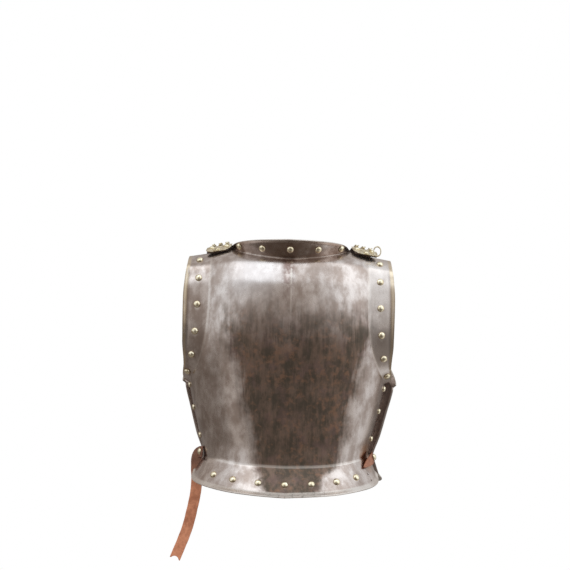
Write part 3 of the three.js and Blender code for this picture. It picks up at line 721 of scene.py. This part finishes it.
# ---------------------------------------------------------------- rivets
# Domed brass rivets along every border, hammered over a burr inside the plate; only the
# heads are drawn. Those on the flanks, where the two plates overlap, have smaller heads.
RIVET_RADIUS, RIVET_HEIGHT = 6 * MM, 4.2 * MM
FLANK_RADIUS, FLANK_HEIGHT = 5 * MM, 3.6 * MM
RIVET_GAP = 0.35 * MM
HEAD_FOOT = 0.12  # how far a head's foot reaches below its dome, as a share of its height
HEAD_LIFT = 1.6 * RIVET_GAP  # keeps the foot of a head clear of the plate
BREAST_SINK, BREAST_LOSS = 0.5 * MM, 0.4 * MM  # the front heads sit in the plate, and lower


def head_size(row):
    """The radius and height of the heads of a row: they are smaller on the flanks."""
    return (FLANK_RADIUS, FLANK_HEIGHT) if row == "flank" else (RIVET_RADIUS, RIVET_HEIGHT)


def add_dome(bm, point, normal, radius, height):
    """A round head on a seat: the upper half of a ball, with a short foot under it."""
    turn = Vector((0, 0, 1)).rotation_difference(normal).to_matrix().to_4x4()
    ball = bmesh.ops.create_uvsphere(bm, u_segments=28, v_segments=14, radius=1)["verts"]
    geom = list({part for v in ball for part in (v, *v.link_edges, *v.link_faces)})
    half = bmesh.ops.bisect_plane(
        bm, geom=geom, plane_co=(0, 0, 0), plane_no=(0, 0, 1), clear_inner=True, dist=1e-5
    )
    kept = [part for part in half["geom"] if isinstance(part, bmesh.types.BMVert)]
    ring = [part for part in half["geom_cut"] if isinstance(part, bmesh.types.BMEdge)]
    foot = bmesh.ops.extrude_edge_only(bm, edges=ring)["geom"]
    low = [part for part in foot if isinstance(part, bmesh.types.BMVert)]
    bmesh.ops.translate(bm, verts=low, vec=(0, 0, -HEAD_FOOT))
    edges = [part for part in foot if isinstance(part, bmesh.types.BMEdge)]
    bmesh.ops.contextual_create(bm, geom=[e for e in edges if e.is_boundary])
    size = Matrix.Diagonal((radius, radius, height, 1))
    bmesh.ops.transform(
        bm, verts=list(set(kept + low)), matrix=Matrix.Translation(point) @ turn @ size
    )


def finished(name, bm, smooth=True):
    """A bmesh as an object of the scene, its faces turned outwards."""
    bmesh.ops.recalc_face_normals(bm, faces=bm.faces)
    for face in bm.faces:
        face.smooth = smooth
    return placed(name, bm)


YELLOW_BRASS = (0.97, 0.87, 0.67, 1)
DULL_BRASS = (0.72, 0.59, 0.38, 1)

rivet_brass, shader, place = finish_of("rivet_brass", 1.0, 0.25)
cloud = place.cloud(0.004, 4, 0.6)
painted(
    shader,
    Base_Color=cloud.ramp(0.3, 0.7).colour(DULL_BRASS, YELLOW_BRASS),
    Roughness=0.13 + cloud * 0.2,
    Normal=relief(place.cloud(0.0018, 3, 0.5, 4.0), 0.00012),
)

for row, seats in back_rows.items():
    bm = bmesh.new()
    radius, height = head_size(row)
    for _, point, normal in seats:
        add_dome(bm, point * MM + normal * HEAD_LIFT, normal, radius, height - RIVET_GAP)
    heads = finished(f"rivet_heads_{row}", bm)
    heads.data.materials.append(rivet_brass)
    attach(heads, "root")
    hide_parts(*(f"rivet_{name}" for name, _, _ in seats))

bm = bmesh.new()
for row, seats in breast_rows.items():
    radius, height = head_size(row)
    for _, point, normal in seats:
        add_dome(bm, point * MM - normal * BREAST_SINK, normal, radius, height - BREAST_LOSS)
breast_heads = finished("breast_rivet_heads", bm)
breast_heads.data.materials.append(rivet_brass)
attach(breast_heads, "root")

# ---------------------------------------------------------------- shoulder straps
# Each strap is a leather band under three rows of brass chain, between a round tongued
# plate riveted to the backplate and a pierced plate that hangs on the breastplate's stud.
STRAP_WIDTH = 44
STRAP_WALL = 2.6
PLATE_WALL = 1.4
STRAP_DRIFT = 3  # both straps sit this far towards the wearer's right
# x, y, z of the middle line, and the way across the strap
STRAP_ROUTE = [
    (129, -31, -13.6, 1, 0, -0.2),
    (128, -20, -10.4, 1, 0, -0.2),
    (127, -9, -7.6, 1, 0, -0.2),
    (126, 3, -4.8, 1, 0, -0.2),
    (124.5, 15, -4.2, 1, -0.02, -0.2),
    (122, 28, -7, 1, -0.06, -0.2),
    (119.5, 40, -14.5, 1, -0.14, -0.18),
    (117, 51, -26, 1, -0.26, -0.16),
    (115, 60, -37.5, 1, -0.38, -0.13),
    (113, 71, -51, 1, -0.47, -0.1),
    (112, 79.5, -64.5, 1, -0.5, -0.08),
    (111, 89.5, -88, 1, -0.5, -0.06),
]


def smooth_run(points, t):
    """A point of the smooth curve through points, in which wide gaps don't overshoot."""
    last = len(points) - 1
    place = last * min(1, max(0, t))
    i = min(int(place), last - 1)
    t = place - i
    b, c = points[i], points[i + 1]
    a = points[i - 1] if i > 0 else 2 * b - c
    d = points[i + 2] if i + 2 <= last else 2 * c - b
    gap = [max((q - p).length, 1e-8) ** 0.5 for p, q in ((a, b), (b, c), (c, d))]
    start = (b - a) / gap[0] - (c - a) / (gap[0] + gap[1]) + (c - b) / gap[1]
    end = (c - b) / gap[1] - (d - b) / (gap[1] + gap[2]) + (d - c) / gap[2]
    start, end = start * gap[1], end * gap[1]
    return (
        b
        + start * t
        + (3 * (c - b) - 2 * start - end) * t * t
        + (2 * (b - c) + start + end) * t * t * t
    )


class Ribbon:
    """A strap's run: its point and the ways along, across and out, at a share of its length."""

    def __init__(self, route, mirror=1, drift=0):
        self.middle = [Vector((mirror * x + drift, y, z)) for x, y, z, *_ in route]
        self.width = [Vector((row[3], mirror * row[4], mirror * row[5])) for row in route]
        self.turns = 200
        self.lengths = [0]
        before = smooth_run(self.middle, 0)
        for k in range(1, self.turns + 1):
            after = smooth_run(self.middle, k / self.turns)
            self.lengths.append(self.lengths[-1] + (after - before).length)
            before = after

    def at(self, share):
        goal = share * self.lengths[-1]
        k = 0
        while k < self.turns - 1 and self.lengths[k + 1] < goal:
            k += 1
        t = (k + (goal - self.lengths[k]) / (self.lengths[k + 1] - self.lengths[k])) / self.turns
        step = 0.0001
        onward = smooth_run(self.middle, t + step) - smooth_run(self.middle, t - step)
        onward.normalize()
        across = smooth_run(self.width, t)
        across = (across - onward * across.dot(onward)).normalized()
        return smooth_run(self.middle, t), onward, across, across.cross(onward)


TRIMMED = 1 / 6  # a trimmed end draws its band back over this share of the run


def ribbon_sheet(name, ribbon, start, end, grid, width, lift, wall, trim=None, bend=None):
    """A band between two shares of a ribbon's run, as a grid with a wall under it."""
    columns, rows = grid
    bm = bmesh.new()
    bmesh.ops.create_grid(bm, x_segments=columns, y_segments=rows, size=0.5)
    uv_layer = bm.loops.layers.uv.new("UVMap")
    for face in bm.faces:
        face.smooth = True
        for loop in face.loops:
            loop[uv_layer].uv = (loop.vert.co.x + 0.5, loop.vert.co.y + 0.5)
    for vert in bm.verts:
        aside, onto = vert.co.x, vert.co.y + 0.5
        share = blend(start, end, onto)
        point, onward, across, outward = ribbon.at(share)
        place = point + across * aside * width(share) + outward * (lift + wall)
        if trim:
            place -= onward * trim(aside) * max(0, 1 - (1 - onto) / TRIMMED)
        if bend:
            place += outward * bend(aside, share)
        vert.co = place * MM
    piece = walled(placed(name, bm), wall * MM, 50)
    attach(piece, "root")
    return piece


GAP = 0.35  # between the pieces that lie on each other
LEATHER_FROM, LEATHER_TO = 0.02, 0.8  # shares of the strap's run
LEATHER_WIDTH = 39
CHAIN_PITCH, CHAIN_LIFT = 12.2, 6.6  # between the rows, and above the leather's underside
LINKS, CHAIN_FROM, CHAIN_TO = 12, 0.258, 0.592
LINK_RADIUS, LINK_WIRE = 3.5 * MM, 0.95 * MM
LINK_ROLL = 38  # degrees, to one side and the other in turn
LINK_SHAPE = (0.86, 1.12, 1)  # its stretch across, along and out
TONGUE_END = 0.25  # share of the strap's run
TONGUE_TIP, TONGUE_ROUND = 0.42, 0.45  # its width at the tip, and where it is whole
TONGUE_HEADS = [(0, 0.04), (-13, 0.16), (13, 0.16)]  # aside, and share of the run
HEAD_SINK = 0.5  # their feet sit in the plate
RING_PLACE, RING_RADIUS, RING_WIRE = (151, -34, -4.5), 7.4 * MM, 1.1 * MM
brass_pieces, strap_leathers = [], []


def tongue_width(share):
    """The tongued plate's width: it widens from its tip along a quarter of an ellipse."""
    t = min(1, share / TONGUE_END / TONGUE_ROUND)
    return STRAP_WIDTH * blend(TONGUE_TIP, 1, math.sqrt(max(0, 1 - (1 - t) ** 2)))


def add_link(bm, middle, onward, across, outward, roll, radius=LINK_RADIUS, wire=LINK_WIRE):
    """One round link of wire, rolled to one side about the run of the chain."""
    ring = bmesh.ops.create_circle(
        bm, segments=7, radius=wire, matrix=Matrix.Rotation(math.radians(90), 4, "X")
    )["verts"]
    bmesh.ops.translate(bm, verts=ring, vec=(radius, 0, 0))
    edges = list({edge for vert in ring for edge in vert.link_edges})
    before = set(bm.verts) - set(ring)
    bmesh.ops.spin(
        bm,
        geom=ring + edges,
        cent=(0, 0, 0),
        axis=(0, 0, 1),
        angle=2 * math.pi,
        steps=18,
        use_merge=True,
    )
    made = [vert for vert in bm.verts if vert not in before]
    turn = Matrix((across, onward, outward)).transposed().to_4x4()
    rolled = Matrix.Rotation(roll, 4, "Y") @ Matrix.Diagonal((*LINK_SHAPE, 1))
    bmesh.ops.transform(bm, verts=made, matrix=Matrix.Translation(middle) @ turn @ rolled)


for side, word in ((-1, "left"), (1, "right")):
    ribbon = Ribbon(STRAP_ROUTE, side, STRAP_DRIFT)
    leather = ribbon_sheet(
        f"strap_band_{word}",
        ribbon,
        start=LEATHER_FROM,
        end=LEATHER_TO,
        grid=(14, 60),
        width=lambda share: LEATHER_WIDTH,
        lift=0,
        wall=STRAP_WALL,
    )
    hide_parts(f"strap_leather_{word}")
    strap_leathers.append(leather)
    tongue = ribbon_sheet(
        f"strap_tongue_{word}",
        ribbon,
        start=0,
        end=TONGUE_END,
        grid=(20, 24),
        width=tongue_width,
        lift=STRAP_WALL + GAP,
        wall=PLATE_WALL,
    )
    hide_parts(f"strap_rear_plate_{word}")
    bm = bmesh.new()
    for aside, share in TONGUE_HEADS:
        point, _, across, outward = ribbon.at(share)
        point += across * aside + outward * (STRAP_WALL + GAP + PLATE_WALL - HEAD_SINK)
        add_dome(bm, point * MM, outward, FLANK_RADIUS, FLANK_HEIGHT)
    heads = finished(f"strap_tongue_heads_{word}", bm)
    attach(heads, "root")
    brass_pieces += [tongue, heads]
    for row, label in ((-side, "inner"), (0, "middle"), (side, "outer")):
        bm = bmesh.new()
        for k in range(LINKS):
            share = blend(CHAIN_FROM, CHAIN_TO, k / (LINKS - 1))
            point, onward, across, outward = ribbon.at(share)
            point += across * row * CHAIN_PITCH + outward * CHAIN_LIFT
            roll = math.radians(LINK_ROLL if k % 2 else -LINK_ROLL)
            add_link(bm, point * MM, onward, across, outward, roll)
        chain = finished(f"strap_links_{label}_{word}", bm)
        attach(chain, "root")
        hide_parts(f"strap_chain_{label}_{word}")
        brass_pieces.append(chain)

# a loose wire ring hangs at the outer edge of the right tongued plate
bm = bmesh.new()
ways = Matrix(((0, 0, 1), (1, 0, 0), (0, -1, 0)))
add_link(bm, Vector(RING_PLACE) * MM, *ways, 0, RING_RADIUS, RING_WIRE)
ring = finished("strap_ring_right", bm)
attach(ring, "root")
brass_pieces.append(ring)

TARNISHED_BRASS = (0.5, 0.37, 0.17, 1)
BLACK_LEATHER, BROWN_LEATHER = (0.035, 0.02, 0.013, 1), (0.085, 0.048, 0.03, 1)
strap_brass, shader, place = finish_of("strap_brass", 1.0, 0.28)
cloud = place.cloud(0.006, 5, 0.6)
painted(
    shader,
    Base_Color=cloud.ramp(0.32, 0.66).colour(TARNISHED_BRASS, YELLOW_BRASS),
    Roughness=0.22 + cloud * 0.24,
    Normal=relief(place.cloud(0.0025, 3, 0.5, 4.0), 0.00015),
)
strap_leather, shader, place = finish_of("strap_leather", 0.0, 0.62)
cloud = place.cloud(0.008, 5, 0.6)
painted(
    shader,
    Base_Color=cloud.ramp(0.3, 0.7).colour(BLACK_LEATHER, BROWN_LEATHER),
    Roughness=0.5 + cloud * 0.25,
    Normal=relief(place.cloud(0.0012, 3, 0.6, 4.0), 0.0002),
)
for piece in brass_pieces:
    piece.data.materials.append(strap_brass)
for leather in strap_leathers:
    leather.data.materials.append(strap_leather)
for word in ("left", "right"):
    for name in (f"strap_hook_plate_{word}", f"strap_stud_{word}"):
        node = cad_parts[name]
        node.data.materials.clear()
        node.data.materials.append(strap_brass)

# ---------------------------------------------------------------- waist belt
# A reddish leather belt ran round the waist. Its left half hangs from its rivet, its
# free end torn at a hole; of the right half only a torn tag is left under its rivet.
BELT_WALL = 2.4
BELT_WIDTH = 19
NOTCH_DEPTH, NOTCH_HALF = 5, 0.35  # the torn hole's depth, and its half width as a share
BELT_ROUTE = [
    (-143.4, -27, -360, 0.1, 0, 1),
    (-146.4, -16, -360.5, 0.1, 0, 1),
    (-150, -6, -362.5, 0, 0.05, 1),
    (-153.5, 4, -367.5, -0.5, 0.1, 0.9),
    (-155.5, 7.5, -378, -0.9, 0.1, 0.35),
    (-155.5, 8, -391, -1, 0, 0.1),
    (-154.5, 8.5, -412, -1, 0, 0.02),
    (-156, 9, -436, -1, 0, 0.12),
    (-161, 10, -463, -1, 0, 0.2),
    (-169.5, 10, -499, -1, 0, 0.27),
    (-189.5, 8, -552.5, -1, 0, 0.42),
]
STUB_ROUTE = [
    (151.5, -8, -362, -0.2, 0, 1),
    (151.2, -19, -363.5, -0.25, 0, 1),
    (147.6, -33, -367.5, -0.3, 0.1, 1),
    (141.4, -46, -372.5, -0.35, 0.2, 1),
    (135.4, -55, -377.5, -0.4, 0.3, 1),
]
STUB_WIDTHS = [(0, 15), (0.25, 16.5), (0.5, 15.5), (0.75, 11), (1, 3)]
BELT_RIVET, STUB_RIVET = 0.035, 0.2  # shares of the halves' runs
TAG_LEATHER = (0.22, 0.075, 0.038, 1), (0.42, 0.165, 0.088, 1)
FADED_LEATHER = (0.46, 0.155, 0.072, 1), (0.76, 0.3, 0.155, 1)
DARK_PORE = (0.12, 0.045, 0.025, 1)
BELT_TOP_SHADE = (0.085, 0.042, 0.028, 1)


def torn_end(aside):
    """How far the belt's end is torn back, at a share of its width from the middle."""
    bite = NOTCH_DEPTH * math.sqrt(max(0, 1 - (aside / NOTCH_HALF) ** 2))
    return bite + 0.5 * noise.noise((aside * 9, 0, 3))


def belt_ripple(aside, share):
    """How far old leather stands out of its smooth run."""
    return 0.5 * noise.noise((aside * 2, share * 14, 7))


belt_run, stub_run = Ribbon(BELT_ROUTE), Ribbon(STUB_ROUTE)
stub_width = along(STUB_WIDTHS, 1)
belt = ribbon_sheet(
    "belt_left_half",
    belt_run,
    start=0,
    end=1,
    grid=(12, 110),
    width=lambda share: BELT_WIDTH + 0.6 * noise.noise((share * 20, 1, 5)),
    lift=0,
    wall=BELT_WALL,
    trim=torn_end,
    bend=belt_ripple,
)
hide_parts("belt_strap_left")
stub = ribbon_sheet(
    "belt_right_tag",
    stub_run,
    start=0,
    end=1,
    grid=(12, 34),
    width=lambda share: stub_width(share) + 1.2 * noise.noise((share * 9, 2, 1)),
    lift=0,
    wall=BELT_WALL,
)
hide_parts("belt_stub_right")
belt_leather, shader, place = finish_of("belt_leather", 0.0, 0.6)
broad = place.cloud(0.03, 5, 0.6)
cloud = place.cloud(0.006, 5, 0.65, 2.0)
pores = place.cloud(0.0011, 3, 0.6, 5.0)
cloudy = (broad * 0.5 + cloud * 0.5).ramp(0.35, 0.65)
hanging_half = place.part(0).ramp(0.05, -0.05)
near_rivet = (place.part(2) + (cloud - 0.5) * 0.03).ramp(-0.43, -0.375)
tone = laid(
    cloudy.colour(*TAG_LEATHER),
    (hanging_half, cloudy.colour(*FADED_LEATHER)),
    (pores.ramp(0.6, 0.75) * 0.5, DARK_PORE),
    # the hanging belt's upper part, by its rivet and fold, painted darker: painted shade
    (near_rivet * hanging_half * 0.75, BELT_TOP_SHADE),
)
painted(
    shader,
    Base_Color=tone,
    Roughness=0.5 + cloud * 0.25,
    Normal=relief(cloud * 0.5 + pores * 0.5, 0.0003),
)
belt.data.materials.append(belt_leather)
stub.data.materials.append(belt_leather)
for run, share, word in ((belt_run, BELT_RIVET, "left"), (stub_run, STUB_RIVET, "right")):
    bm = bmesh.new()
    point, _, _, outward = run.at(share)
    seat = (point + outward * (BELT_WALL + 3 * GAP)) * MM
    add_dome(bm, seat, outward, RIVET_RADIUS, RIVET_HEIGHT)
    head = finished(f"belt_rivet_head_{word}", bm)
    head.data.materials.append(rivet_brass)
    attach(head, "root")
    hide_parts(f"belt_rivet_{word}")

# ---------------------------------------------------------------- floor, light and camera
# A pale studio floor far below. The light comes from the room all round: white walls at
# the sides, a bright patch overhead, and a darker stretch behind the camera, which the
# middle of the plate reflects. The camera itself sees the room as white.
FLOOR_LEVEL, FLOOR_RADIUS, PALE_FLOOR = -1.4, 4.8, (0.84, 0.8, 0.77, 1)
CAMERA_PLACE = (-0.0075, -3.0, -0.0665)
CAMERA_LEAN = -1.4  # degrees about its own line of sight
ROOM_LIGHT = 0.24
CAMERA_SIDE_DIMMED = 0.4
WARM_LIGHT, COOL_LIGHT = (1, 0.93, 0.87, 1), (0.91, 1, 1.08, 1)  # where it is dim and bright
WHITE = (1, 1, 1, 1)

bm = bmesh.new()
bmesh.ops.create_circle(
    bm,
    cap_ends=True,
    segments=96,
    radius=FLOOR_RADIUS,
    matrix=Matrix.Translation((0, 0, FLOOR_LEVEL)),
)
floor = finished("floor", bm, smooth=False)
pale, shader, place = finish_of("pale_floor", 0.0, 0.8)
shader.inputs["Base Color"].default_value = PALE_FLOOR
floor.data.materials.append(pale)
floor.visible_glossy = False

scene = bpy.context.scene
scene.view_settings.view_transform = "Standard"
camera_data = bpy.data.cameras.new("camera")
camera = bpy.data.objects.new("camera", camera_data)
scene.collection.objects.link(camera)
camera_data.lens = 108
camera_data.sensor_width = 36
camera.location = CAMERA_PLACE
camera.rotation_euler = (math.radians(90), math.radians(CAMERA_LEAN), 0)
scene.camera = camera

world = bpy.data.worlds.new("studio")
scene.world = world
world.use_nodes = True
tree = world.node_tree
way = Shade(tree, tree.nodes.new("ShaderNodeTexCoord").outputs["Generated"])


def toward(direction, inner, outer):
    """1 within an inner angle of a direction, in degrees, fading to 0 at an outer one."""
    aim = tuple(Vector(direction).normalized())
    facing = way.vector("DOT_PRODUCT", aim, output=1)
    return facing.ramp(math.cos(math.radians(outer)), math.cos(math.radians(inner)))


# side goes from -1 at the left to 1 at the right, behind from -1 at the camera to 1
level_way = way.scaled(1, 1, 0).vector("NORMALIZE")
side, behind, up = level_way.part(0), level_way.part(1), way.part(2)
right_wall = side.ramp(0.1, 0.8) * up.ramp(-0.15, 0.2) * (0.35 + behind.ramp(0.4, -0.25) * 0.65)
left_wall = side.ramp(-0.25, -0.75) * up.ramp(-0.2, -0.04) * up.ramp(0.95, 0.6)
lights = (
    (up.ramp(-0.15, 0.25), 0.22),  # all above the floor
    (up.ramp(0.35, 0.75), 0.25),  # the ceiling
    (side.ramp(0.72, 1.0) * up.ramp(0.3, 0.0), 0.6),  # the foot of the right wall
    (right_wall, 0.95),
    (left_wall * behind.ramp(0.3, -0.3), 0.6),
    (toward((-0.65, -0.72, -0.24), 4, 16), 0.3),  # a low patch at the left
    (toward((-0.24, -0.42, 0.87), 0, 27), 1.2),  # the bright patch overhead
)
room = ROOM_LIGHT
for share, strength in lights:
    room = room + share * strength
room = room * (1 - toward((0, -1, -0.3), 8, 38) * CAMERA_SIDE_DIMMED)
seen = Shade(tree, tree.nodes.new("ShaderNodeLightPath").outputs["Is Camera Ray"])
level = (1 - seen) * room + seen
tint = level.ramp(0.3, 1.1).colour(WARM_LIGHT, COOL_LIGHT)
tint = seen.colour(tint, WHITE)
background = tree.nodes["Background"]
tree.links.new(level.socket, background.inputs["Strength"])
tree.links.new(tint.socket, background.inputs["Color"])
